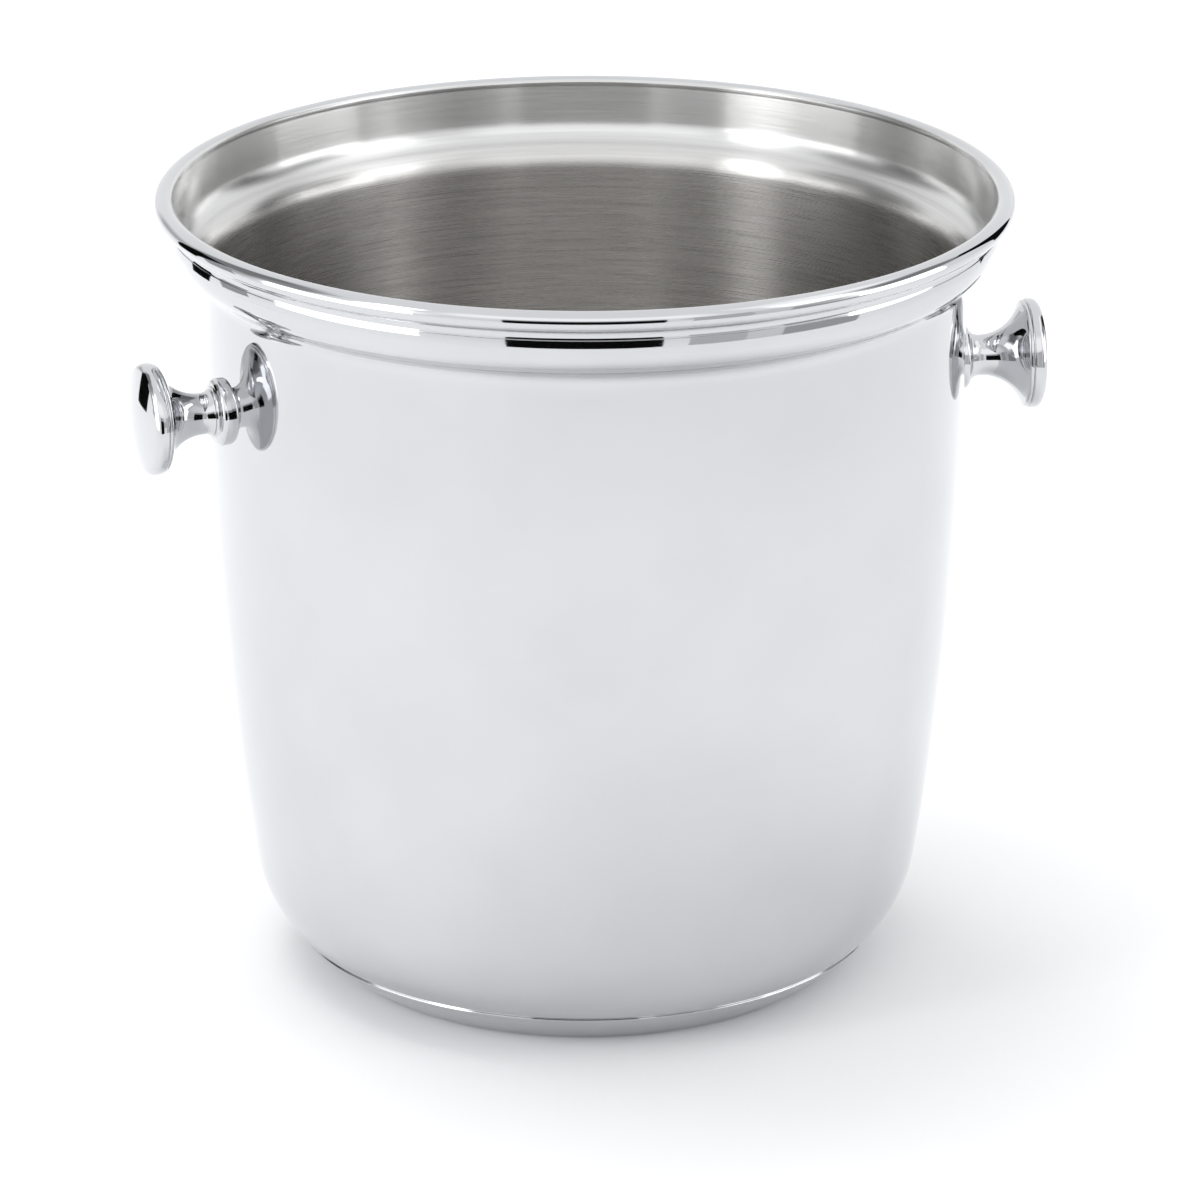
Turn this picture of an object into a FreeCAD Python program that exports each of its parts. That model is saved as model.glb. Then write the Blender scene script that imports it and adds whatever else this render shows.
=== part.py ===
"""Champagne bucket: a spun bowl on a foot ring, with a moulded rim and two turned knobs.

+Z is up. The origin is on the bowl's axis, on the surface that the bucket stands on. The knobs
lie along X, one each side, both set a few degrees towards -Y. Every size is in millimetres.
"""
import FreeCAD
import Part
import Sketcher
import math
import os
import re

SIZES = [
    # Bowl
    ("WallRadius", 98.0, "outside of the bowl where it is widest"),
    ("WidestHeight", 175.0, "height of that widest circle"),
    ("FlankRadius", 964.0, "long curve of the side"),
    ("FlankFoot", 29.0, "height where the side runs into the lower curve"),
    ("LowerRadius", 33.0, "lower curve"),
    ("GrooveHeight", 10.4, "height of the line between bowl and foot ring"),
    ("BaseHeight", 5.0, "underside of the flat base"),
    ("SheetThickness", 1.0, "spun sheet"),
    ("ShoulderRadius", 7.6, "quarter round under the rim"),
    ("ShoulderCentre", 97.9, "distance of its centre from the axis"),
    ("ShoulderHeight", 197.3, "height of its centre"),
    ("CornerRadius", 6.0, "hollow between wall and quarter round"),
    ("SheetTop", 206.0, "upper edge of the sheet, inside the rim"),
    ("BandLean", 5.3, "outward lean of the band above the quarter round, in degrees"),
    # Rim moulding
    ("RimRadius", 110.0, "outside of the bead"),
    ("RimHeight", 208.2, "top of the bead, which is the bucket's height"),
    ("BeadRadius", 2.55, "section of the bead"),
    ("BandBottom", 198.2, "lower edge of the moulding"),
    ("FilletTop", 200.3, "upper edge of its plain fillet"),
    ("FilletRadius", 106.45, "outside of the fillet at its lower edge"),
    ("FilletLean", 0.1, "how much less it is at the upper edge"),
    ("CoveDepth", 0.3, "step from the fillet into the cove"),
    ("CoveRadius", 2.4, "cove between fillet and bead"),
    ("BeadStart", 70.0, "where the cove meets the bead, in degrees below its outermost point"),
    # Foot ring
    ("ContactRadius", 65.4, "outer edge of the face that stands on the table"),
    ("ContactWidth", 4.6, "width of that face"),
    ("FootCrown", 90.0, "slight crown of the ring's outer face"),
    ("FootEdge", 0.6, "height of the ring's outer edge, below the line"),
    # Knobs: distances are from the bowl's axis, outwards along the knob's own axis
    ("KnobHeight", 158.7, "height of the knobs' axes"),
    ("KnobForward", 6.2, "angle of each knob towards -Y, in degrees"),
    ("CollarFront", 101.0, "front face of the collar"),
    ("CollarRadius", 8.6, "outside of the collar"),
    ("CollarRound", 1.5, "quarter round on the collar's edge"),
    ("CollarCove", 0.75, "small cove at the collar's face"),
    ("StemFoot", 6.0, "radius of the stem at the collar"),
    ("NeckAt", 103.5, "where the stem is narrowest"),
    ("NeckRadius", 5.35, "radius there"),
    ("FlareEnd", 114.2, "where the flare runs into its rounded lip"),
    ("FlareRadius", 13.3, "radius of the flare there"),
    ("LipRound", 0.9, "rounding of the lip"),
    ("CapSeat", 115.4, "joint between stem and cap"),
    ("CapBack", 0.6, "rounding of the cap's edge towards the stem"),
    ("CapEdge", 117.0, "where the rounding of its front edge starts"),
    ("CapRound", 2.0, "that rounding, which runs into the dome"),
    ("CapRadius", 14.3, "radius of the cap"),
    ("CapTop", 120.4, "crown of the dome"),
    ("SpigotRadius", 5.0, "spigot that centres the cap"),
    ("SpigotLength", 1.6, "its length"),
    ("SpigotEndGap", 0.2, "clearance beyond its end"),
    ("JoinGap", 0.05, "clearance round the spigot and the thread"),
    # Screws, from inside the bowl
    ("ScrewRadius", 2.5, "M5 thread"),
    ("HoleRadius", 2.75, "clearance holes"),
    ("HeadRadius", 4.75, "pan head"),
    ("HeadHeight", 2.9, "its height"),
    ("HeadRound", 1.6, "rounding of its edge"),
    ("SlotWidth", 1.2, "driver slot"),
    ("SlotDepth", 1.3, "its depth"),
    ("ScrewTip", 107.0, "end of the screw, 12 mm from under its head"),
    ("TipChamfer", 0.6, "chamfer at that end"),
    ("TapEnd", 107.4, "bottom of the tapped hole"),
    ("WasherRadius", 6.5, "steel washer"),
    ("WasherThickness", 1.0, "its thickness"),
    ("SealRadius", 7.0, "rubber seal"),
    ("SealFace", 96.0, "face of the seal that the washer presses on"),
]

# Formulas for the points that follow from those sizes, all of them (distance from axis, height).
DERIVED = {
    "FlankCentre": "WallRadius - FlankRadius",
    "FootRun": "sqrt(FlankRadius^2 - (WidestHeight - FlankFoot)^2)",
    "FlankFootR": "FlankCentre + FootRun",
    "LowerCentreR": "FlankFootR - LowerRadius * FootRun / FlankRadius",
    "LowerCentreZ": "FlankFoot + LowerRadius * (WidestHeight - FlankFoot) / FlankRadius",
    "LowerDrop": "LowerCentreZ - GrooveHeight",
    "GrooveR": "LowerCentreR + sqrt(LowerRadius^2 - LowerDrop^2)",
    "BaseCorner": "(GrooveHeight - BaseHeight) / (1 - LowerDrop / LowerRadius)",
    "BaseFlat": "GrooveR - BaseCorner * (GrooveR - LowerCentreR) / LowerRadius",
    "CornerRun": "ShoulderRadius + CornerRadius",
    "CornerSide": "WallRadius + CornerRadius - ShoulderCentre",
    "CornerZ": "ShoulderHeight - sqrt(CornerRun^2 - CornerSide^2)",
    "ShoulderEndR": "ShoulderCentre + ShoulderRadius * cos(BandLean)",
    "ShoulderEndZ": "ShoulderHeight - ShoulderRadius * sin(BandLean)",
    "SheetTopR": "ShoulderEndR + (SheetTop - ShoulderEndZ) * tan(BandLean)",
    "SheetInnerR": "SheetTopR - SheetThickness / cos(BandLean)",
    "BandBottomR": "ShoulderEndR + (BandBottom - ShoulderEndZ) * tan(BandLean)",
    "BeadCentreR": "RimRadius - BeadRadius",
    "BeadCentreZ": "RimHeight - BeadRadius",
    "BeadInnerZ": "BeadCentreZ + sqrt(BeadRadius^2 - (BeadCentreR - SheetInnerR)^2)",
    "BeadStartR": "BeadCentreR + BeadRadius * cos(BeadStart)",
    "BeadStartZ": "BeadCentreZ - BeadRadius * sin(BeadStart)",
    "FootEdgeR": "BaseFlat + sqrt(BaseCorner^2 - (BaseHeight + BaseCorner - FootTopZ)^2)",
    "FootTopZ": "GrooveHeight - FootEdge",
    "KnobDrop": "WidestHeight - KnobHeight",
    "StemFillet": "((NeckAt - CollarFront)^2 + (StemFoot - NeckRadius)^2) / (2 * (StemFoot - NeckRadius))",
    "Flare": "((FlareEnd - NeckAt)^2 + (FlareRadius - NeckRadius)^2) / (2 * (FlareRadius - NeckRadius))",
    "LipEnd": "FlareEnd + LipRound * (FlareEnd - NeckAt) / Flare",
    "LipRadius": "FlareRadius + LipRound * (FlareRadius - NeckRadius) / Flare",
    "CapRise": "CapTop - CapEdge",
    "CapRoundAt": "CapRadius - CapRound",
    "Dome": "(CapRise^2 + CapRoundAt^2 - CapRound^2) / (2 * (CapRise - CapRound))",
    "DomeEdge": "CapTop - Dome + Dome * (Dome - CapRise) / (Dome - CapRound)",
    "DomeRadius": "Dome * CapRoundAt / (Dome - CapRound)",
    "CapRecess": "CapSeat + SpigotLength + SpigotEndGap",
    "WasherFace": "SealFace - WasherThickness",
    "HeadFace": "WasherFace - HeadHeight",
}

NAME = re.compile(r"[A-Z][A-Za-z]+")
SIDES = ("left", "right")
ON_AXIS = 1e-9  # a coordinate smaller than this lies on the sketch's axis

doc = FreeCAD.newDocument("champagne_bucket")
sheet = doc.addObject("Spreadsheet::Sheet", "sizes")


def fill_sheet():
    for row, (alias, value, meaning) in enumerate(SIZES, start=1):
        sheet.set(f"A{row}", alias)
        sheet.set(f"B{row}", str(value))
        sheet.set(f"C{row}", meaning)
        sheet.setAlias(f"B{row}", alias)
    doc.recompute()


def formula(text):
    """Spell a formula out until it names only cells of the sheet."""
    text = str(text)
    while any(name in DERIVED for name in NAME.findall(text)):
        text = NAME.sub(lambda found: f"({DERIVED[found[0]]})" if found[0] in DERIVED else found[0], text)
    return NAME.sub(lambda found: f"sizes.{found[0]}", text)


def number(text):
    return float(sheet.evalExpression(formula(text)))


def bind(thing, path, text):
    thing.setExpression(path, formula(text))


def arc_between(start, end, radius):
    """The short arc from start to end: anticlockwise for a positive radius, clockwise otherwise."""
    chord = end - start
    rise = math.sqrt(radius ** 2 - (chord.Length / 2) ** 2)
    left = FreeCAD.Vector(-chord.y, chord.x, 0).normalize()
    centre = (start + end) / 2 + left * math.copysign(rise, radius)
    first, last = (start, end) if radius > 0 else (end, start)
    angles = [math.atan2(point.y - centre.y, point.x - centre.x) for point in (first, last)]
    circle = Part.Circle(centre, FreeCAD.Vector(0, 0, 1), abs(radius))
    return Part.ArcOfCircle(circle, *angles)


def outline(body, name, corners):
    """Draw a closed outline on the body's XZ plane.

    A corner is (x, z), or (x, z, radius) where an arc of that radius leads on to the next corner.
    Every corner and radius is a formula, and is bound to the sheet.
    """
    sketch = body.newObject("Sketcher::SketchObject", name)
    plane = next(item for item in body.Origin.OriginFeatures if item.Role == "XZ_Plane")
    sketch.AttachmentSupport = (plane, [""])
    sketch.MapMode = "FlatFace"
    points = [FreeCAD.Vector(number(corner[0]), number(corner[1]), 0) for corner in corners]
    starts = []
    ends = []
    for index, corner in enumerate(corners):
        start = points[index]
        end = points[(index + 1) % len(points)]
        bend = number(corner[2]) if len(corner) > 2 else 0
        if bend:
            edge = arc_between(start, end, bend)
        else:
            edge = Part.LineSegment(start, end)
        geometry = sketch.addGeometry(edge, False)
        starts.append((geometry, 2 if bend < 0 else 1))
        ends.append((geometry, 1 if bend < 0 else 2))
        if bend:
            radius = sketch.addConstraint(Sketcher.Constraint("Radius", geometry, abs(bend)))
            bind(sketch, f"Constraints[{radius}]", f"abs({corner[2]})")
    for index, corner in enumerate(corners):
        following = starts[(index + 1) % len(starts)]
        sketch.addConstraint(Sketcher.Constraint("Coincident", *ends[index], *following))
        for kind, axis, value, text in (
            ("DistanceX", -2, points[index].x, corner[0]),
            ("DistanceY", -1, points[index].y, corner[1]),
        ):
            if abs(value) < ON_AXIS:
                sketch.addConstraint(Sketcher.Constraint("PointOnObject", *starts[index], axis))
            else:
                place = sketch.addConstraint(Sketcher.Constraint(kind, *starts[index], value))
                bind(sketch, f"Constraints[{place}]", text)
    return sketch


def turned(label, corners, axis):
    """A body turned about the sketch's V_Axis (the bowl's axis) or H_Axis (a knob's axis)."""
    body = doc.addObject("PartDesign::Body", label)
    body.Label = label
    sketch = outline(body, f"{label}_outline", corners)
    turn = body.newObject("PartDesign::Revolution", f"{label}_turn")
    turn.Profile = sketch
    turn.ReferenceAxis = (sketch, [axis])
    turn.Angle = 360
    doc.recompute()
    return body


def take_round_axis(body, corners):
    """Turn an outline round the bowl's axis and take it away from the body."""
    before = body.Shape.Volume
    sketch = outline(body, f"{body.Name}_cut_outline", corners)
    groove = body.newObject("PartDesign::Groove", f"{body.Name}_cut")
    groove.Profile = sketch
    groove.ReferenceAxis = (sketch, ["V_Axis"])
    groove.Angle = 360
    doc.recompute()
    if not 0 < body.Shape.Volume < before:
        raise RuntimeError(f"{body.Label}: the cut takes nothing")


def wall(offset, inset):
    """Formula of the wall's radius, offset above the knob's axis and inset into the sheet."""
    return f"FlankCentre + sqrt((FlankRadius - {inset})^2 - (KnobDrop - ({offset}))^2)"


def set_on_knob_axis(piece, side):
    """Place a knob piece at its height, turned to the right (+X) or the left (-X) side."""
    turn = "-KnobForward" if side == "right" else "180 + KnobForward"
    piece.Placement = FreeCAD.Placement(
        FreeCAD.Vector(0, 0, number("KnobHeight")),
        FreeCAD.Rotation(FreeCAD.Vector(0, 0, 1), number(turn)),
    )
    bind(piece, "Placement.Base.z", "KnobHeight")
    bind(piece, "Placement.Rotation.Angle", f"({turn}) * 1 deg")


def skin(inset):
    """Corners of the bowl's surface from the axis to the top edge, inset into the sheet."""
    shoulder = f"(ShoulderRadius - {inset})"
    return [
        (0, f"BaseHeight + {inset}"),
        ("BaseFlat", f"BaseHeight + {inset}", f"BaseCorner - {inset}"),
        (f"GrooveR - {inset} * (GrooveR - LowerCentreR) / LowerRadius",
         f"GrooveHeight + {inset} * LowerDrop / LowerRadius", f"LowerRadius - {inset}"),
        (f"FlankFootR - {inset} * FootRun / FlankRadius",
         f"FlankFoot + {inset} * (WidestHeight - FlankFoot) / FlankRadius", f"FlankRadius - {inset}"),
        (f"WallRadius - {inset}", "WidestHeight"),
        (f"WallRadius - {inset}", "CornerZ", f"-(CornerRadius + {inset})"),
        (f"ShoulderCentre + CornerSide * {shoulder} / CornerRun",
         f"ShoulderHeight - (ShoulderHeight - CornerZ) * {shoulder} / CornerRun", shoulder),
        (f"ShoulderCentre + {shoulder} * cos(BandLean)", f"ShoulderHeight - {shoulder} * sin(BandLean)"),
        (f"SheetTopR - {inset} / cos(BandLean)", "SheetTop"),
        (0, "SheetTop"),
    ]


def bowl():
    """Spun from one sheet: the outer form is turned solid, hollowed, and drilled for the screws."""
    form = turned("bowl_form", skin("0"), "V_Axis")
    take_round_axis(form, skin("SheetThickness"))

    drills = doc.addObject("Part::MultiFuse", "screw_holes")
    for side in SIDES:
        drill = turned(f"{side}_screw_hole", [
            (0, 0),
            ("RimRadius", 0),
            ("RimRadius", "HoleRadius"),
            (0, "HoleRadius"),
        ], "H_Axis")
        set_on_knob_axis(drill, side)
        drills.Shapes = drills.Shapes + [drill]
    drilled = doc.addObject("Part::Cut", "bowl")
    drilled.Label = "bowl"
    drilled.Base = form
    drilled.Tool = drills
    return drilled


def rim_moulding():
    """Bead, cove and fillet in one strip, rabbeted over the upper edge of the sheet."""
    return turned("rim_moulding", [
        ("BandBottomR", "BandBottom"),
        ("FilletRadius", "BandBottom"),
        ("FilletRadius - FilletLean", "FilletTop"),
        ("FilletRadius - CoveDepth", "FilletTop", "-CoveRadius"),
        ("BeadStartR", "BeadStartZ", "BeadRadius"),
        ("RimRadius", "BeadCentreZ", "BeadRadius"),
        ("BeadCentreR", "RimHeight", "BeadRadius"),
        ("SheetInnerR", "BeadInnerZ"),
        ("SheetInnerR", "SheetTop"),
        ("SheetTopR", "SheetTop"),
    ], "V_Axis")


def foot_ring():
    """A ring under the base whose upper face fits the curve of the bowl."""
    return turned("foot_ring", [
        ("ContactRadius - ContactWidth", 0),
        ("ContactRadius", 0, "FootCrown"),
        ("FootEdgeR + FootEdge", "FootTopZ - FootEdge", "FootEdge"),
        ("FootEdgeR", "FootTopZ", "-BaseCorner"),
        ("BaseFlat", "BaseHeight"),
        ("ContactRadius - ContactWidth", "BaseHeight"),
    ], "V_Axis")


def collar(side):
    """A turned rosette between the wall and the stem; its back is a saddle that fits the wall."""
    body = turned(f"{side}_collar", [
        ("SealFace", "HoleRadius"),
        ("CollarFront", "HoleRadius"),
        ("CollarFront", "CollarRadius - CollarRound - CollarCove", "CollarCove"),
        ("CollarFront - CollarCove", "CollarRadius - CollarRound", "-CollarRound"),
        ("CollarFront - CollarCove - CollarRound", "CollarRadius"),
        ("SealFace", "CollarRadius"),
    ], "H_Axis")
    reach = "2 * CollarRadius"
    take_round_axis(body, [
        (0, f"-{reach}"),
        (wall(f"-{reach}", 0), f"-{reach}", "FlankRadius"),
        (wall(reach, 0), reach),
        (0, reach),
    ])
    return body


def stem(side):
    """Waisted stem that flares out like a trumpet to a rounded lip, tapped from the wall end."""
    tap = "ScrewRadius + JoinGap"
    return turned(f"{side}_knob_stem", [
        ("CollarFront", tap),
        ("CollarFront", "StemFoot", "StemFillet"),
        ("NeckAt", "NeckRadius", "Flare"),
        ("FlareEnd", "FlareRadius", "-LipRound"),
        ("LipEnd", "LipRadius"),
        ("CapSeat", "LipRadius"),
        ("CapSeat", "SpigotRadius"),
        ("CapSeat + SpigotLength", "SpigotRadius"),
        ("CapSeat + SpigotLength", 0),
        ("TapEnd", 0),
        ("TapEnd", tap),
    ], "H_Axis")


def cap(side):
    """Domed disc with a thick round edge, recessed at the back for the stem's spigot."""
    return turned(f"{side}_knob_cap", [
        ("CapSeat", "SpigotRadius + JoinGap"),
        ("CapSeat", "CapRadius - CapBack", "-CapBack"),
        ("CapSeat + CapBack", "CapRadius"),
        ("CapEdge", "CapRadius", "-CapRound"),
        ("DomeEdge", "DomeRadius", "-Dome"),
        ("CapTop", 0),
        ("CapRecess", 0),
        ("CapRecess", "SpigotRadius + JoinGap"),
    ], "H_Axis")


def screw(side):
    """Pan-head screw, with a driver slot that runs right across the head."""
    body = turned(f"{side}_knob_screw", [
        ("HeadFace", 0),
        ("HeadFace", "HeadRadius - HeadRound", "-HeadRound"),
        ("HeadFace + HeadRound", "HeadRadius"),
        ("WasherFace", "HeadRadius"),
        ("WasherFace", "ScrewRadius"),
        ("ScrewTip - TipChamfer", "ScrewRadius"),
        ("ScrewTip", "ScrewRadius - TipChamfer"),
        ("ScrewTip", 0),
    ], "H_Axis")
    before = body.Shape.Volume
    sketch = outline(body, f"{body.Name}_slot_outline", [
        ("HeadFace - SlotDepth", "-SlotWidth / 2"),
        ("HeadFace + SlotDepth", "-SlotWidth / 2"),
        ("HeadFace + SlotDepth", "SlotWidth / 2"),
        ("HeadFace - SlotDepth", "SlotWidth / 2"),
    ])
    slot = body.newObject("PartDesign::Pocket", f"{body.Name}_slot")
    slot.Profile = sketch
    slot.SideType = "Symmetric"
    bind(slot, "Length", "3 * HeadRadius")
    doc.recompute()
    if not 0 < body.Shape.Volume < before:
        raise RuntimeError(f"{body.Label}: the slot cuts nothing")
    return body


def washer(side):
    """Flat washer under the screw's head."""
    return turned(f"{side}_screw_washer", [
        ("WasherFace", "HoleRadius"),
        ("SealFace", "HoleRadius"),
        ("SealFace", "WasherRadius"),
        ("WasherFace", "WasherRadius"),
    ], "H_Axis")


def seal(side):
    """Rubber seal, flat on the washer's side and fitted to the inside of the wall on the other."""
    body = turned(f"{side}_screw_seal", [
        ("SealFace", "HoleRadius"),
        ("WallRadius", "HoleRadius"),
        ("WallRadius", "SealRadius"),
        ("SealFace", "SealRadius"),
    ], "H_Axis")
    reach = "2 * SealRadius"
    take_round_axis(body, [
        (wall(f"-{reach}", "SheetThickness"), f"-{reach}", "FlankRadius - SheetThickness"),
        (wall(reach, "SheetThickness"), reach),
        ("RimRadius", reach),
        ("RimRadius", f"-{reach}"),
    ])
    return body


def build():
    fill_sheet()
    pieces = [bowl(), rim_moulding(), foot_ring()]
    for side in SIDES:
        for make in (collar, stem, cap, screw, washer, seal):
            piece = make(side)
            set_on_knob_axis(piece, side)
            pieces.append(piece)
    doc.recompute()
    return pieces


def check(pieces):
    for thing in doc.Objects:
        if {"Invalid", "Error"} & set(thing.State):
            raise RuntimeError(f"{thing.Label} is {thing.State}")
    for piece in pieces:
        if piece.Shape.isNull() or not piece.Shape.isValid():
            raise RuntimeError(f"{piece.Label} has no valid shape")
        if len(piece.Shape.Solids) != 1:
            raise RuntimeError(f"{piece.Label} is {len(piece.Shape.Solids)} solids")


def write(pieces):
    os.makedirs("parts", exist_ok=True)
    for piece in pieces:
        piece.Shape.exportStep(f"parts/{piece.Label}.step")
        box = piece.Shape.BoundBox
        print(f"{piece.Label:20} {piece.Shape.Volume:10.1f} mm3  x {box.XMin:8.2f} {box.XMax:8.2f}"
              f"  y {box.YMin:8.2f} {box.YMax:8.2f}  z {box.ZMin:7.2f} {box.ZMax:7.2f}")


made = build()
check(made)
write(made)
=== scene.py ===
"""Champagne bucket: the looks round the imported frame. Metres, +Z up, axis of the bowl at x = y = 0.

The bowl, rim moulding, foot ring and knobs are turned again at mirror quality on the part's own
outlines, but for a finer edge on the foot ring. Outlines are in millimetres, as (distance from axis,
height), and become metres in lathe().
"""
import math

import bmesh
import bpy
from mathutils import Matrix, Vector


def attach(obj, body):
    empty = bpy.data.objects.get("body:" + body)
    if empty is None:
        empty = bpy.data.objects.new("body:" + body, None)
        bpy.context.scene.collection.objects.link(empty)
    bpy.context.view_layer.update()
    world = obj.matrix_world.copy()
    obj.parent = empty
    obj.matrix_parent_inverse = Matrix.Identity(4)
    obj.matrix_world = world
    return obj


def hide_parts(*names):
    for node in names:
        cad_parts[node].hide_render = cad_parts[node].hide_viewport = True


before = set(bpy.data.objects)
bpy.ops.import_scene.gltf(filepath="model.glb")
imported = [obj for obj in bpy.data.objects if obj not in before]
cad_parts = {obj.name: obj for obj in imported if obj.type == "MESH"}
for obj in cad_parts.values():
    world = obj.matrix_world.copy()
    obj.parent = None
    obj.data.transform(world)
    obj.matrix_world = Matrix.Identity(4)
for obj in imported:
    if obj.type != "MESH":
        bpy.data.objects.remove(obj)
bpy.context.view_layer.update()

MM = 0.001

# Bowl
WALL = 98.0
WIDEST = 175.0
FLANK = 964.0
FLANK_FOOT = 29.0
LOWER = 33.0
GROOVE = 10.4
BASE = 5.0
SHEET = 1.0
SHOULDER = 7.6
SHOULDER_R = 97.9
SHOULDER_Z = 197.3
WALL_TOP = SHOULDER_Z - SHOULDER
CORNER = 6.0
SHEET_TOP = 206.0
LEAN = math.radians(5.3)
# Rim moulding
RIM = 110.0
HEIGHT = 208.2
BEAD = 2.55
BAND_BOTTOM = 198.2
FILLET_TOP = 200.3
FILLET = 106.45
FILLET_LEAN = 0.1
COVE_STEP = 0.3
COVE = 2.4
BEAD_START = math.radians(70)
# Foot ring. FOOT_EDGE is finer than the 0.6 of the part, whose wider edge shines as a white line.
CONTACT = 65.4
CONTACT_WIDTH = 4.6
FOOT_CROWN = 90.0
FOOT_STEP = 0.6
FOOT_EDGE = 0.25
# Knobs, outwards from the bowl's axis
KNOB_Z = 158.7
KNOB_FORWARD = math.radians(6.2)
KNOB_BACK = 97.0
COLLAR_FRONT = 101.0
COLLAR = 8.6
COLLAR_ROUND = 1.5
COLLAR_COVE = 0.75
STEM_FOOT = 6.0
NECK_AT = 103.5
NECK = 5.35
FLARE_END = 114.2
FLARE_EDGE = 13.3
LIP = 0.9
CAP_SEAT = 115.4
CAP_BACK = 0.6
CAP_EDGE = 117.0
CAP_ROUND = 2.0
CAP = 14.3
CAP_TOP = 120.4
SPIGOT = 5.0
SPIGOT_LENGTH = 1.6
GAP = 0.05
TAP_END = 107.4
TAP = 2.55
HOLE = 2.75

# The view, turned about the bowl's axis from straight along +Y
VIEW_TURN = math.radians(-13.8)
VIEW_PITCH = math.radians(19.8157)
VIEW_DISTANCE = 1.7
VIEW_TARGET = (3.852 * MM, 0, 95.859 * MM)
LENS = 195.09

# Fineness of the meshes: steps along an outline and round its softened corners, which take up at
# most SOFT_SHARE of the stretches beside them, and faces round the turn
ARC_STEP = math.radians(5)
LONGEST_STEP = 3.0
SHARP = math.radians(28)
SOFT_STEP = math.radians(18)
SOFT_SHARE = 0.45
BODY_TURNS = 288
KNOB_TURNS = 128
COLLAR_TURNS = 96
HOLE_TURNS = 48

# Finish of the inside: tones (dark, light) and roughness of the wall and of the flare above it. The
# wall's tones are darkened with painted shade and the flare's are lightened with a painted sheen; the
# spread from dark to light within each follows the brush marks.
# FLARE_FADE is where one gives way to the other, in metres from the top of the wall.
WALL_TONES_WITH_PAINTED_SHADE = ((0.47, 0.455, 0.44), (0.62, 0.605, 0.585))
FLARE_TONES_WITH_PAINTED_SHEEN = ((0.66, 0.66, 0.655), (0.74, 0.74, 0.735))
WALL_ROUGHNESS = (0.245, 0.305)
FLARE_ROUGHNESS = (0.19, 0.24)
FLARE_FADE = (-0.006, 0.003)


# Outlines ---------------------------------------------------------------------------------------

def sample(corners, closed=True):
    """Points along an outline of (x, z) and (x, z, radius) corners, as in the part's sketches."""
    points = []
    pairs = list(zip(corners, corners[1:] + corners[:1]))
    if not closed:
        pairs = pairs[:-1]
    for corner, following in pairs:
        start = Vector(corner[:2])
        end = Vector(following[:2])
        radius = corner[2] if len(corner) > 2 else 0
        if not radius:
            steps = max(1, math.ceil((end - start).length / LONGEST_STEP))
            points += [start.lerp(end, i / steps) for i in range(steps)]
            continue
        chord = end - start
        rise = math.sqrt(max(0, radius ** 2 - (chord.length / 2) ** 2))
        left = Vector((-chord.y, chord.x)).normalized()
        centre = (start + end) / 2 + left * math.copysign(rise, radius)
        first = start - centre
        turn = 2 * math.asin(min(1, chord.length / (2 * abs(radius))))
        steps = max(2, math.ceil(turn / ARC_STEP), math.ceil(turn * abs(radius) / LONGEST_STEP))
        for i in range(steps):
            spoke = first.copy()
            spoke.rotate(Matrix.Rotation(math.copysign(turn, radius) * i / steps, 2))
            points.append(centre + spoke)
    if not closed:
        points.append(Vector(corners[-1][:2]))
    return points


def soften(points, radius, closed=True):
    """Round the sharp corners of a sampled outline by about that radius."""
    count = len(points)
    rounded = []
    for i, point in enumerate(points):
        if not closed and i in (0, count - 1):
            rounded.append(point)
            continue
        before = points[i - 1] - point
        after = points[(i + 1) % count] - point
        bend = math.pi - before.angle(after)
        if bend < SHARP or point.x < 1e-6:
            rounded.append(point)
            continue
        cut = min(radius * math.tan(bend / 2), SOFT_SHARE * before.length, SOFT_SHARE * after.length)
        start = point + before.normalized() * cut
        end = point + after.normalized() * cut
        steps = max(2, round(bend / SOFT_STEP))
        for k in range(steps + 1):
            t = k / steps
            rounded.append(start * (1 - t) ** 2 + point * 2 * t * (1 - t) + end * t ** 2)
    return rounded


def bowl_skin(inset):
    """Corners of the bowl's surface from the axis to the top edge, inset into the sheet."""
    foot_run = math.sqrt(FLANK ** 2 - (WIDEST - FLANK_FOOT) ** 2)
    foot_r = WALL - FLANK + foot_run
    lower_r = foot_r - LOWER * foot_run / FLANK
    lower_z = FLANK_FOOT + LOWER * (WIDEST - FLANK_FOOT) / FLANK
    drop = lower_z - GROOVE
    groove_r = lower_r + math.sqrt(LOWER ** 2 - drop ** 2)
    base_corner = (GROOVE - BASE) / (1 - drop / LOWER)
    base_flat = groove_r - base_corner * (groove_r - lower_r) / LOWER
    run = SHOULDER + CORNER
    side = WALL + CORNER - SHOULDER_R
    corner_z = SHOULDER_Z - math.sqrt(run ** 2 - side ** 2)
    share = (SHOULDER - inset) / run
    return [
        (0, BASE + inset),
        (base_flat, BASE + inset, base_corner - inset),
        (groove_r - inset * (groove_r - lower_r) / LOWER, GROOVE + inset * drop / LOWER, LOWER - inset),
        (foot_r - inset * foot_run / FLANK,
         FLANK_FOOT + inset * (WIDEST - FLANK_FOOT) / FLANK, FLANK - inset),
        (WALL - inset, WIDEST),
        (WALL - inset, corner_z, -(CORNER + inset)),
        (SHOULDER_R + side * share, SHOULDER_Z - (SHOULDER_Z - corner_z) * share, SHOULDER - inset),
        (SHOULDER_R + (SHOULDER - inset) * math.cos(LEAN),
         SHOULDER_Z - (SHOULDER - inset) * math.sin(LEAN)),
        (sheet_radius(SHEET_TOP) - inset / math.cos(LEAN), SHEET_TOP),
    ]


def sheet_radius(z):
    """Outside radius of the leaning band above the shoulder."""
    start_r = SHOULDER_R + SHOULDER * math.cos(LEAN)
    start_z = SHOULDER_Z - SHOULDER * math.sin(LEAN)
    return start_r + (z - start_z) * math.tan(LEAN)


def wall_radius(z):
    """Outside radius of the wall at a height on its long curve."""
    return WALL - FLANK + math.sqrt(FLANK ** 2 - (WIDEST - z) ** 2)


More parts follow.
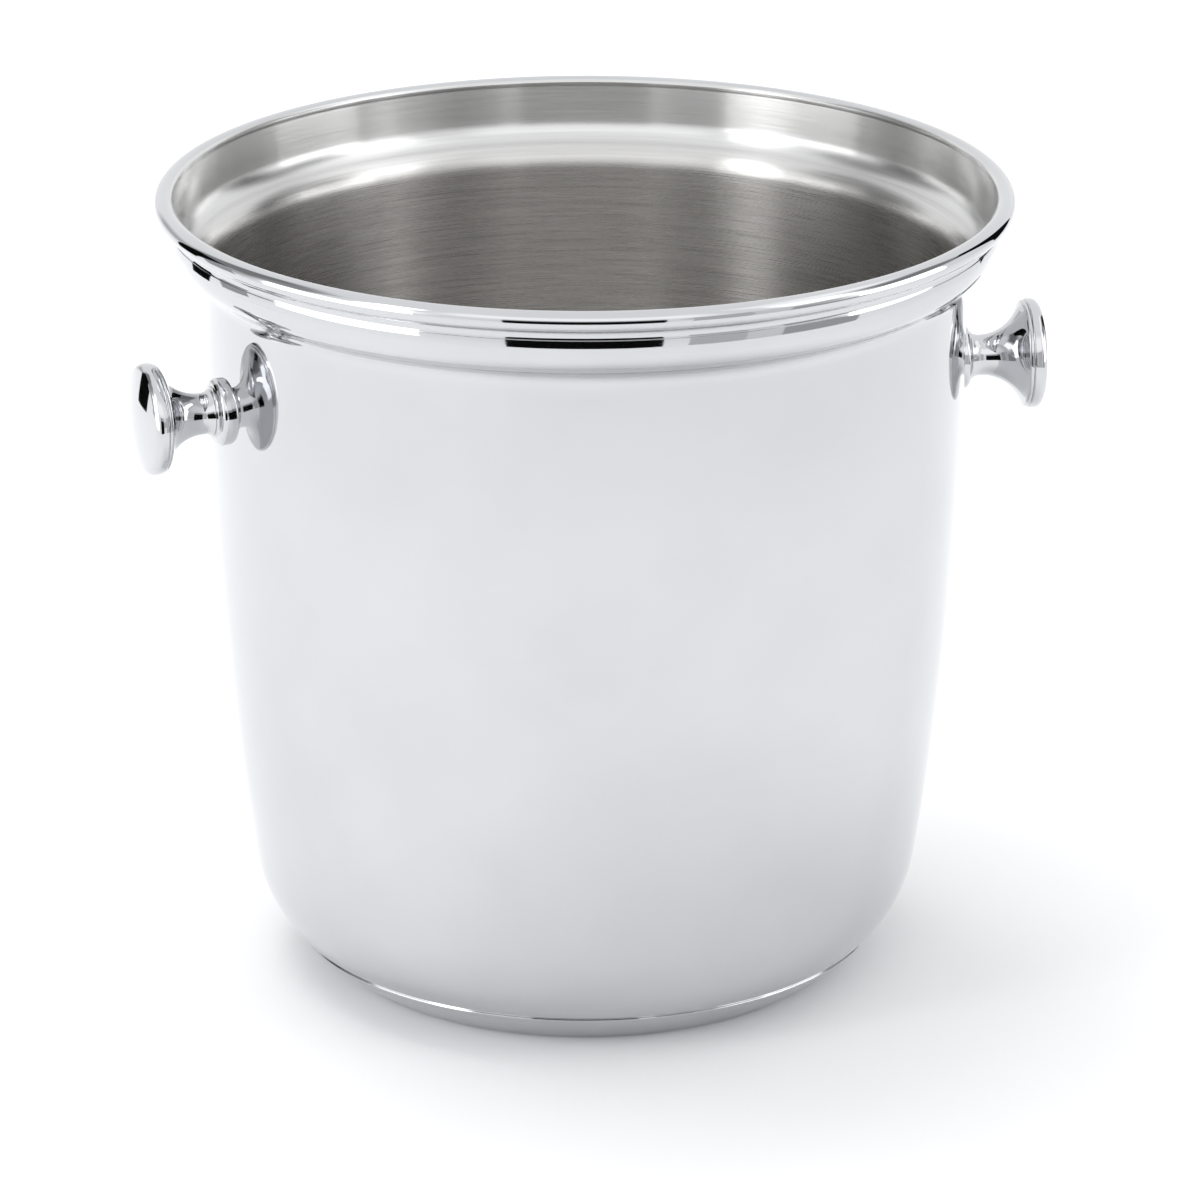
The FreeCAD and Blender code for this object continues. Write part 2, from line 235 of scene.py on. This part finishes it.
def rim_corners():
    inner = sheet_radius(SHEET_TOP) - SHEET / math.cos(LEAN)
    bead_r = RIM - BEAD
    bead_z = HEIGHT - BEAD
    return [
        (sheet_radius(BAND_BOTTOM), BAND_BOTTOM),
        (FILLET, BAND_BOTTOM),
        (FILLET - FILLET_LEAN, FILLET_TOP),
        (FILLET - COVE_STEP, FILLET_TOP, -COVE),
        (bead_r + BEAD * math.cos(BEAD_START), bead_z - BEAD * math.sin(BEAD_START), BEAD),
        (RIM, bead_z, BEAD),
        (bead_r, HEIGHT, BEAD),
        (inner, bead_z + math.sqrt(BEAD ** 2 - (bead_r - inner) ** 2)),
        (inner, SHEET_TOP),
        (sheet_radius(SHEET_TOP), SHEET_TOP),
    ]


def foot_corners():
    skin = bowl_skin(0)
    base_flat, _, base_corner = skin[1]
    top = GROOVE - FOOT_STEP
    edge = base_flat + math.sqrt(base_corner ** 2 - (BASE + base_corner - top) ** 2)
    return [
        (CONTACT - CONTACT_WIDTH, 0),
        (CONTACT, 0, FOOT_CROWN),
        (edge + FOOT_EDGE, top - FOOT_EDGE),
        (edge, top, -base_corner),
        (base_flat, BASE),
        (CONTACT - CONTACT_WIDTH, BASE),
    ]


def arc_through(along, rise):
    """Radius of the arc that starts parallel to the knob's axis and ends that far along and out."""
    return (along ** 2 + rise ** 2) / (2 * rise)


# Knob outlines are (distance from the knob's axis, distance from the bowl's axis).

def collar_corners():
    return [
        (HOLE, COLLAR_FRONT),
        (HOLE, KNOB_BACK),
        (COLLAR, KNOB_BACK),
        (COLLAR, COLLAR_FRONT - COLLAR_COVE - COLLAR_ROUND, COLLAR_ROUND),
        (COLLAR - COLLAR_ROUND, COLLAR_FRONT - COLLAR_COVE, -COLLAR_COVE),
        (COLLAR - COLLAR_ROUND - COLLAR_COVE, COLLAR_FRONT),
    ]


def stem_corners():
    foot = arc_through(NECK_AT - COLLAR_FRONT, STEM_FOOT - NECK)
    flare = arc_through(FLARE_END - NECK_AT, FLARE_EDGE - NECK)
    lip_end = FLARE_END + LIP * (FLARE_END - NECK_AT) / flare
    lip_radius = FLARE_EDGE + LIP * (FLARE_EDGE - NECK) / flare
    return [
        (0, TAP_END),
        (TAP, TAP_END),
        (TAP, COLLAR_FRONT),
        (STEM_FOOT, COLLAR_FRONT, -foot),
        (NECK, NECK_AT, -flare),
        (FLARE_EDGE, FLARE_END, LIP),
        (lip_radius, lip_end),
        (lip_radius, CAP_SEAT),
        (SPIGOT, CAP_SEAT),
        (SPIGOT, CAP_SEAT + SPIGOT_LENGTH),
        (0, CAP_SEAT + SPIGOT_LENGTH),
    ]


def cap_corners():
    recess = CAP_SEAT + SPIGOT_LENGTH + 4 * GAP
    rise = CAP_TOP - CAP_EDGE
    round_at = CAP - CAP_ROUND
    dome = (rise ** 2 + round_at ** 2 - CAP_ROUND ** 2) / (2 * (rise - CAP_ROUND))
    dome_edge = CAP_TOP - dome + dome * (dome - rise) / (dome - CAP_ROUND)
    dome_radius = dome * round_at / (dome - CAP_ROUND)
    return [
        (0, recess),
        (SPIGOT + GAP, recess),
        (SPIGOT + GAP, CAP_SEAT),
        (CAP - CAP_BACK, CAP_SEAT, CAP_BACK),
        (CAP, CAP_SEAT + CAP_BACK),
        (CAP, CAP_EDGE, CAP_ROUND),
        (dome_radius, dome_edge, dome),
        (0, CAP_TOP),
    ]


# Meshes -----------------------------------------------------------------------------------------

def lathe(name, points, segments, place=Matrix.Identity(4), bend=None, closed=True):
    """Turn sampled points about the local Z axis. bend may move a point before it is placed.

    The UV map holds the turn as a share (u) and the length along the outline in metres (v).
    """
    mesh = bpy.data.meshes.new(name)
    build = bmesh.new()
    uv = build.loops.layers.uv.new("UVMap")
    rings = []
    lengths = []
    travelled = 0.0
    for i, point in enumerate(points):
        if i:
            travelled += (point - points[i - 1]).length * MM
        lengths.append(travelled)
        turns = [0] if point.x < 1e-6 else range(segments)
        ring = []
        for k in turns:
            angle = 2 * math.pi * k / segments
            spot = Vector((point.x * math.cos(angle), point.x * math.sin(angle), point.y))
            if bend:
                spot = bend(spot)
            ring.append(build.verts.new(place @ (spot * MM)))
        rings.append(ring)
    following = list(range(1, len(points))) + ([0] if closed else [])
    closing = travelled + (points[0] - points[-1]).length * MM
    for i, j in zip(range(len(points)), following):
        lower, upper = rings[i], rings[j]
        low_v = lengths[i]
        high_v = lengths[j] if j else closing
        if len(lower) == 1 and len(upper) == 1:
            continue
        for k in range(segments):
            n = (k + 1) % segments
            corners = [(lower[k % len(lower)], k, low_v), (lower[n % len(lower)], k + 1, low_v),
                       (upper[n % len(upper)], k + 1, high_v), (upper[k % len(upper)], k, high_v)]
            if len(lower) == 1:
                corners.pop(1)
            if len(upper) == 1:
                corners.pop(2)
            face = build.faces.new([corner[0] for corner in corners])
            face.smooth = True
            for loop, corner in zip(face.loops, corners):
                loop[uv].uv = (corner[1] / segments, corner[2])
    bmesh.ops.recalc_face_normals(build, faces=build.faces)
    build.to_mesh(mesh)
    build.free()
    mesh.set_sharp_from_angle(angle=SHARP)
    piece = bpy.data.objects.new(name, mesh)
    bpy.context.scene.collection.objects.link(piece)
    return piece


def finish_piece(piece, node, slot, *materials):
    for material in materials:
        piece.data.materials.append(material)
    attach(piece, "root")
    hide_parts(node)


def knob_place(side):
    """Local Z becomes the knob's own axis, pointing out from the bowl's axis."""
    angle = -KNOB_FORWARD if side == "right" else math.pi + KNOB_FORWARD
    outward = Vector((math.cos(angle), math.sin(angle), 0))
    across = Vector((0, 0, 1)).cross(outward)
    turn = Matrix((across, Vector((0, 0, 1)), outward)).transposed()
    return Matrix.Translation((0, 0, KNOB_Z * MM)) @ turn.to_4x4()


def onto_wall(spot):
    """Move a point at the collar's back onto the outside of the wall."""
    if spot.z > KNOB_BACK + 0.5:
        return spot
    radius = wall_radius(KNOB_Z + spot.y)
    return Vector((spot.x, spot.y, math.sqrt(radius ** 2 - spot.x ** 2)))


def drill(piece, side):
    """Drill the screw's hole through the sheet."""
    bpy.ops.mesh.primitive_cylinder_add(vertices=HOLE_TURNS, radius=HOLE * MM, depth=20 * MM)
    cutter = bpy.context.object
    cutter.matrix_world = knob_place(side) @ Matrix.Translation((0, 0, WALL * MM))
    cut = piece.modifiers.new("screw_hole", "BOOLEAN")
    cut.operation = "DIFFERENCE"
    cut.solver = "EXACT"
    cut.object = cutter
    bpy.context.view_layer.objects.active = piece
    bpy.ops.object.modifier_apply(modifier=cut.name)
    bpy.data.objects.remove(cutter)


# Materials --------------------------------------------------------------------------------------

class Nodes:
    """The node tree of a material or a world, built one node at a time."""

    def __init__(self, owner, shader="Principled BSDF"):
        owner.use_nodes = True
        self.owner = owner
        self.tree = owner.node_tree
        self.shader = self.tree.nodes[shader]

    def add(self, kind, inputs=None, **settings):
        node = self.tree.nodes.new(kind)
        for key, value in settings.items():
            setattr(node, key, value)
        for key, value in (inputs or {}).items():
            if isinstance(value, bpy.types.NodeSocket):
                self.tree.links.new(value, node.inputs[key])
            else:
                node.inputs[key].default_value = value
        return node

    def math(self, operation, a, b=0.0):
        return self.add("ShaderNodeMath", {0: a, 1: b}, operation=operation).outputs[0]

    def spread(self, value, low, high):
        """A noise value from 0.3 to 0.7 spread over low to high."""
        return self.add("ShaderNodeMapRange", {"Value": value, "From Min": 0.3, "From Max": 0.7,
                                               "To Min": low, "To Max": high}).outputs[0]

    def window(self, value, low, high, soft):
        """1 where the value is from low to high, 0 outside, with soft edges."""
        rising, falling = (self.add("ShaderNodeMapRange", {
            "Value": value, "From Min": edge - soft, "From Max": edge + soft,
        }, interpolation_type="SMOOTHSTEP").outputs[0] for edge in (low, high))
        return self.math("SUBTRACT", rising, falling)

    def noise(self, vector, scale, detail=2.0):
        return self.add("ShaderNodeTexNoise",
                        {"Vector": vector, "Scale": scale, "Detail": detail}).outputs["Fac"]

    def tint(self, factor, dark, light):
        """A colour from dark to light."""
        return self.add("ShaderNodeMix", {"Factor": factor, "A": (*dark, 1), "B": (*light, 1)},
                        data_type="RGBA").outputs["Result"]

    def bump(self, height, strength, distance):
        bump = self.add("ShaderNodeBump", {"Height": height, "Strength": strength, "Distance": distance})
        self.link(bump.outputs[0], "Normal")

    def set(self, **sockets):
        for name, value in sockets.items():
            self.shader.inputs[name.replace("_", " ")].default_value = value

    def link(self, value, socket):
        self.tree.links.new(value, self.shader.inputs[socket])

    def lathe_lines(self, along, across):
        """Coordinates stretched round the turn: lines follow the lathe, with no seam."""
        place = self.add("ShaderNodeTexCoord")
        xyz = self.add("ShaderNodeSeparateXYZ", {0: place.outputs["Object"]})
        uv = self.add("ShaderNodeSeparateXYZ", {0: place.outputs["UV"]})
        return self.add("ShaderNodeCombineXYZ", {
            "X": self.math("MULTIPLY", xyz.outputs["X"], along),
            "Y": self.math("MULTIPLY", xyz.outputs["Y"], along),
            "Z": self.math("MULTIPLY", uv.outputs["Y"], across),
        }).outputs[0], place.outputs["Object"]


def mirror_polish():
    """Buffed plate: almost a mirror, with faint lathe lines and soft cloudy wipe marks."""
    nodes = Nodes(bpy.data.materials.new("mirror_polish"))
    nodes.set(Metallic=1.0)
    lines, place = nodes.lathe_lines(12.0, 9000.0)
    hairs = nodes.noise(lines, 1.0)
    cloud = nodes.noise(place, 28.0, 3.0)
    tint = nodes.tint(nodes.spread(cloud, 0.0, 1.0), (0.600, 0.607, 0.622), (0.632, 0.638, 0.650))
    nodes.link(tint, "Base Color")
    rough = nodes.math("ADD", nodes.spread(hairs, 0.0, 0.02), nodes.spread(cloud, 0.025, 0.045))
    nodes.link(rough, "Roughness")
    nodes.bump(hairs, 0.02, 0.00002)
    return nodes.owner


def satin_inside():
    """Inside of the bowl: brushed round and round, so that its shine is drawn out up and down.

    The wall is a little duller than the flare above it, which is buffed smoother; the wall's colour also
    carries painted shade and the flare's a painted sheen.
    """
    nodes = Nodes(bpy.data.materials.new("satin_inside"))
    nodes.set(Metallic=1.0, Anisotropic=1.0, Anisotropic_Rotation=0.25)
    fine, place = nodes.lathe_lines(45.0, 5200.0)
    coarse, _ = nodes.lathe_lines(14.0, 1500.0)
    hairs = nodes.noise(fine, 1.0, 3.0)
    strokes = nodes.noise(coarse, 1.0, 4.0)
    marks = nodes.math("ADD", nodes.spread(hairs, 0.0, 0.6), nodes.spread(strokes, 0.0, 0.4))
    height = nodes.add("ShaderNodeSeparateXYZ", {0: place}).outputs["Z"]
    fade_from, fade_to = (WALL_TOP * MM + offset for offset in FLARE_FADE)
    flare = nodes.add("ShaderNodeMapRange", {"Value": height, "From Min": fade_from,
                                             "From Max": fade_to}).outputs[0]
    # Painted shade darkens the wall's colour, and a painted sheen lightens the flare's colour above it.
    wall_tone_with_painted_shade = nodes.tint(marks, *WALL_TONES_WITH_PAINTED_SHADE)
    flare_tone_with_painted_sheen = nodes.tint(marks, *FLARE_TONES_WITH_PAINTED_SHEEN)
    tint = nodes.add("ShaderNodeMix", {"Factor": flare, "A": wall_tone_with_painted_shade, "B": flare_tone_with_painted_sheen},
                     data_type="RGBA")
    nodes.link(tint.outputs["Result"], "Base Color")
    wall_rough = nodes.spread(hairs, *WALL_ROUGHNESS)
    flare_rough = nodes.spread(hairs, *FLARE_ROUGHNESS)
    rough = nodes.add("ShaderNodeMix", {"Factor": flare, "A": wall_rough, "B": flare_rough}).outputs[0]
    nodes.link(rough, "Roughness")
    tangent = nodes.add("ShaderNodeTangent", direction_type="RADIAL", axis="Z")
    nodes.link(tangent.outputs[0], "Tangent")
    nodes.bump(hairs, 0.05, 0.00004)
    return nodes.owner


def screw_steel():
    """Turned screws and washers: bright steel with fine turning marks."""
    nodes = Nodes(bpy.data.materials.new("screw_steel"))
    nodes.set(Metallic=1.0)
    place = nodes.add("ShaderNodeTexCoord").outputs["Object"]
    grain = nodes.noise(place, 2600.0, 3.0)
    tint = nodes.tint(nodes.spread(grain, 0.0, 1.0), (0.50, 0.50, 0.51), (0.62, 0.62, 0.63))
    nodes.link(tint, "Base Color")
    nodes.link(nodes.spread(grain, 0.22, 0.38), "Roughness")
    nodes.bump(grain, 0.1, 0.00005)
    return nodes.owner


def seal_rubber():
    """Black rubber with the fine grain of a moulded washer."""
    nodes = Nodes(bpy.data.materials.new("seal_rubber"))
    place = nodes.add("ShaderNodeTexCoord").outputs["Object"]
    grain = nodes.noise(place, 1800.0, 4.0)
    tint = nodes.tint(nodes.spread(grain, 0.0, 1.0), (0.012, 0.012, 0.013), (0.028, 0.028, 0.03))
    nodes.link(tint, "Base Color")
    nodes.link(nodes.spread(grain, 0.55, 0.75), "Roughness")
    nodes.bump(grain, 0.3, 0.0001)
    return nodes.owner


def plain(name, color, glow=None):
    nodes = Nodes(bpy.data.materials.new(name))
    nodes.set(Base_Color=(*color, 1), Roughness=0.9)
    nodes.shader.inputs["Specular IOR Level"].default_value = 0.0
    if glow:
        nodes.set(Emission_Color=(*glow, 1), Emission_Strength=1.0)
    return nodes.owner


# The bucket -------------------------------------------------------------------------------------

polish = mirror_polish()
satin = satin_inside()


def make_bowl():
    outside = sample(bowl_skin(0), closed=False)
    inside = sample(bowl_skin(SHEET), closed=False)
    outline = outside + inside[::-1]
    piece = lathe("bowl_shell", outline, BODY_TURNS, closed=False)
    for side in ("left", "right"):
        drill(piece, side)
    finish_piece(piece, "bowl", "bowl_metal", polish, satin)
    inner_radius = sheet_radius(SHEET_TOP) - SHEET / 2
    for face in piece.data.polygons:
        centre = face.center / MM
        radial = Vector((centre.x, centre.y)).length
        faces_in = face.normal.x * centre.x + face.normal.y * centre.y < -1e-3 * radial
        floor_side = face.normal.z > 0.2 and centre.z < SHOULDER_Z + 4
        lies_inside = radial < inner_radius and (faces_in or floor_side)
        face.material_index = 1 if lies_inside and face.normal.z > -0.9 else 0


def make_round(name, corners, edge, node):
    piece = lathe(name, soften(sample(corners), edge), BODY_TURNS)
    finish_piece(piece, node, "polished_metal", polish)
    return piece


def brush_inner_edge(rim):
    """The rim's narrow inner face is brushed together with the bowl's inside."""
    rim.data.materials.append(satin)
    inner_radius = sheet_radius(SHEET_TOP) - SHEET / math.cos(LEAN)
    for face in rim.data.polygons:
        if Vector(face.center[:2]).length < (inner_radius + BEAD / 4) * MM:
            face.material_index = 1


def make_knob(side):
    place = knob_place(side)
    collar_outline = soften(sample(collar_corners()), 0.12)
    collar = lathe(f"{side}_collar_turned", collar_outline, COLLAR_TURNS, place, onto_wall)
    finish_piece(collar, f"{side}_collar", "polished_metal", polish)
    for name, corners, edge in (("stem", stem_corners(), 0.15), ("cap", cap_corners(), 0.35)):
        outline = soften(sample(corners, closed=False), edge, closed=False)
        piece = lathe(f"{side}_{name}_turned", outline, KNOB_TURNS, place, closed=False)
        finish_piece(piece, f"{side}_knob_{name}", "polished_metal", polish)


make_bowl()
brush_inner_edge(make_round("rim_turned", rim_corners(), 0.18, "rim_moulding"))
make_round("foot_turned", foot_corners(), 0.08, "foot_ring")
for knob_side in ("left", "right"):
    make_knob(knob_side)

steel = screw_steel()
rubber = seal_rubber()
for name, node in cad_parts.items():
    if node.hide_render:
        continue
    node.data.materials.clear()
    node.data.materials.append(rubber if name.endswith("seal") else steel)


# Studio -----------------------------------------------------------------------------------------
# Everything here is placed as seen from the camera: x to its right, -y towards it, then turned.

STUDIO = Matrix.Rotation(VIEW_TURN, 4, "Z")
RING = 0.705
FRONT_RING = 0.722
# The tent lights by TENT_LEVEL outside its patches. Each patch is (azimuths, elevations, softness,
# radiance), in degrees. The floor gets only a share of it.
TENT_LEVEL = 1.05
TENT_ON_FLOOR = 0.93
TENT = [
    ((-98, -80), (18, 44), 5, 0.38),
    ((-128, -96), (8, 50), 6, 0.28),
    ((86, 126), (18, 41), 6, 0.28),
    ((-40, 36), (20, 48), 7, 1.40),
    ((56, 126), (44, 62), 6, 1.42),
    ((-90, -42), (-9, 19), 6, 1.6),
    ((72, 104), (-9, 19), 5, 1.6),
    ((26, 70), (-9, 10), 4, 0.6),
    ((-150, -98), (-9, 14), 6, 0.60),
    ((-64, -50), (18, 44), 3, 5.5),
    ((56, 80), (19, 42), 4, 2.6),
]


def aim(location, target):
    direction = Vector(target) - Vector(location)
    return Matrix.Translation(location) @ direction.to_track_quat("-Z", "Y").to_matrix().to_4x4()


def make_camera():
    data = bpy.data.cameras.new("camera")
    data.lens = LENS
    data.sensor_width = 36
    data.clip_end = 20
    camera = bpy.data.objects.new("camera", data)
    target = Vector(VIEW_TARGET)
    back = Vector((0, -math.cos(VIEW_PITCH), math.sin(VIEW_PITCH))) * VIEW_DISTANCE
    camera.matrix_world = STUDIO @ aim(target + back, target)
    bpy.context.scene.collection.objects.link(camera)
    bpy.context.scene.camera = camera


def softbox(name, location, target, width, height, power):
    data = bpy.data.lights.new(name, "AREA")
    data.shape = "RECTANGLE"
    data.size = width
    data.size_y = height
    data.energy = power
    light = bpy.data.objects.new(name, data)
    light.matrix_world = STUDIO @ aim(location, target)
    light.visible_camera = False
    bpy.context.scene.collection.objects.link(light)
    return light


def card(name, corners, material, ring=RING):
    """A flat card that only shows in reflections. Corners are (azimuth, height) on a ring."""
    spots = []
    for azimuth, height in corners:
        angle = math.radians(azimuth)
        spots.append(STUDIO @ Vector((ring * math.sin(angle), -ring * math.cos(angle), height)))
    mesh = bpy.data.meshes.new(name)
    mesh.from_pydata(spots, [], [range(len(spots))])
    mesh.materials.append(material)
    piece = bpy.data.objects.new(name, mesh)
    bpy.context.scene.collection.objects.link(piece)
    piece.visible_camera = False
    piece.visible_diffuse = False
    piece.visible_shadow = False


def side_board(name, azimuth, distance, width, bottom, top, radiance):
    """An upright softbox that stands beside the bucket."""
    angle = math.radians(azimuth)
    middle = (bottom + top) / 2
    spot = (distance * math.sin(angle), -distance * math.cos(angle), middle)
    power = radiance * math.pi * width * (top - bottom)
    board = softbox(name, spot, (0, 0, middle), width, top - bottom, power)
    board.visible_diffuse = False


def light_world():
    """The pale light tent. The camera itself sees an even white instead."""
    world = bpy.data.worlds.new("studio")
    bpy.context.scene.world = world
    nodes = Nodes(world, "Background")
    place = nodes.add("ShaderNodeTexCoord").outputs["Generated"]
    seen = nodes.add("ShaderNodeVectorRotate", {"Vector": place, "Angle": -VIEW_TURN},
                     rotation_type="Z_AXIS")
    xyz = nodes.add("ShaderNodeSeparateXYZ", {0: seen.outputs[0]})
    away = nodes.math("MULTIPLY", xyz.outputs["Y"], -1.0)
    azimuth = nodes.math("DEGREES", nodes.math("ARCTAN2", xyz.outputs["X"], away))
    elevation = nodes.math("DEGREES", nodes.math("ARCSINE", xyz.outputs["Z"]))
    level = TENT_LEVEL
    for azimuths, elevations, soft, radiance in TENT:
        share = nodes.math("MULTIPLY", nodes.window(azimuth, *azimuths, soft),
                           nodes.window(elevation, *elevations, soft))
        level = nodes.add("ShaderNodeMix", {"Factor": share, "A": level, "B": radiance}).outputs[0]
    path = nodes.add("ShaderNodeLightPath").outputs
    on_floor = nodes.math("MULTIPLY", level, TENT_ON_FLOOR)
    lit = nodes.add("ShaderNodeMix", {"Factor": path["Is Glossy Ray"], "A": on_floor, "B": level})
    shown = nodes.add("ShaderNodeMix", {"Factor": path["Is Camera Ray"], "A": lit.outputs[0], "B": 1.0})
    nodes.set(Color=(0.985, 0.99, 1.0, 1))
    nodes.link(shown.outputs[0], "Strength")


def make_studio():
    bpy.ops.mesh.primitive_plane_add(size=12, location=(0, 0, 0))
    floor = bpy.context.object
    floor.name = "floor"
    floor.data.materials.append(plain("pale_floor", (0.90, 0.90, 0.905)))

    light_world()
    bpy.context.scene.view_settings.view_transform = "Standard"

    side_board("left_board", -65, 0.9, 0.74, 0.01, 0.43, 2.3)
    side_board("right_board", 87, 0.9, 0.50, 0.05, 0.47, 2.1)
    key = softbox("back_key", (-0.35, 0.30, 1.5), (0, 0, 0.05), 1.0, 1.0, 10.5)
    key.visible_glossy = False

    black = plain("black_card", (0.004, 0.004, 0.004))
    dim = plain("dim_card", (0.0, 0.0, 0.0), (0.45, 0.45, 0.46))
    grey = plain("grey_card", (0.0, 0.0, 0.0), (0.62, 0.62, 0.63))
    pale = plain("pale_card", (0.0, 0.0, 0.0), (0.82, 0.82, 0.83))
    card("front_gap", [(-19.5, 0), (19.5, 0), (19.5, 0.29), (-19.5, 0.29)], black, FRONT_RING)
    card("front_haze", [(-19.5, 0.29), (19.5, 0.29), (19.5, 0.37), (-19.5, 0.37)], dim, FRONT_RING)
    card("right_shade", [(26, 0), (41, 0), (41, 0.40), (26, 0.37)], grey)
    card("right_veil", [(41, 0), (51, 0), (51, 0.38), (41, 0.40)], pale)
    card("right_flag", [(51, 0), (74, 0), (74, 0.07), (51, 0.22)], dim)
    card("left_back_shade", [(-97, 0.04), (-110, 0.02), (-110, 0.28), (-97, 0.30)], dim)
    card("left_back_gap", [(-118, 0), (-129, 0), (-116, 0.41), (-100, 0.38)], black)
    card("right_back_gap", [(131, 0.02), (142, 0.14), (121, 0.55), (111, 0.47)], black)


make_camera()
make_studio()
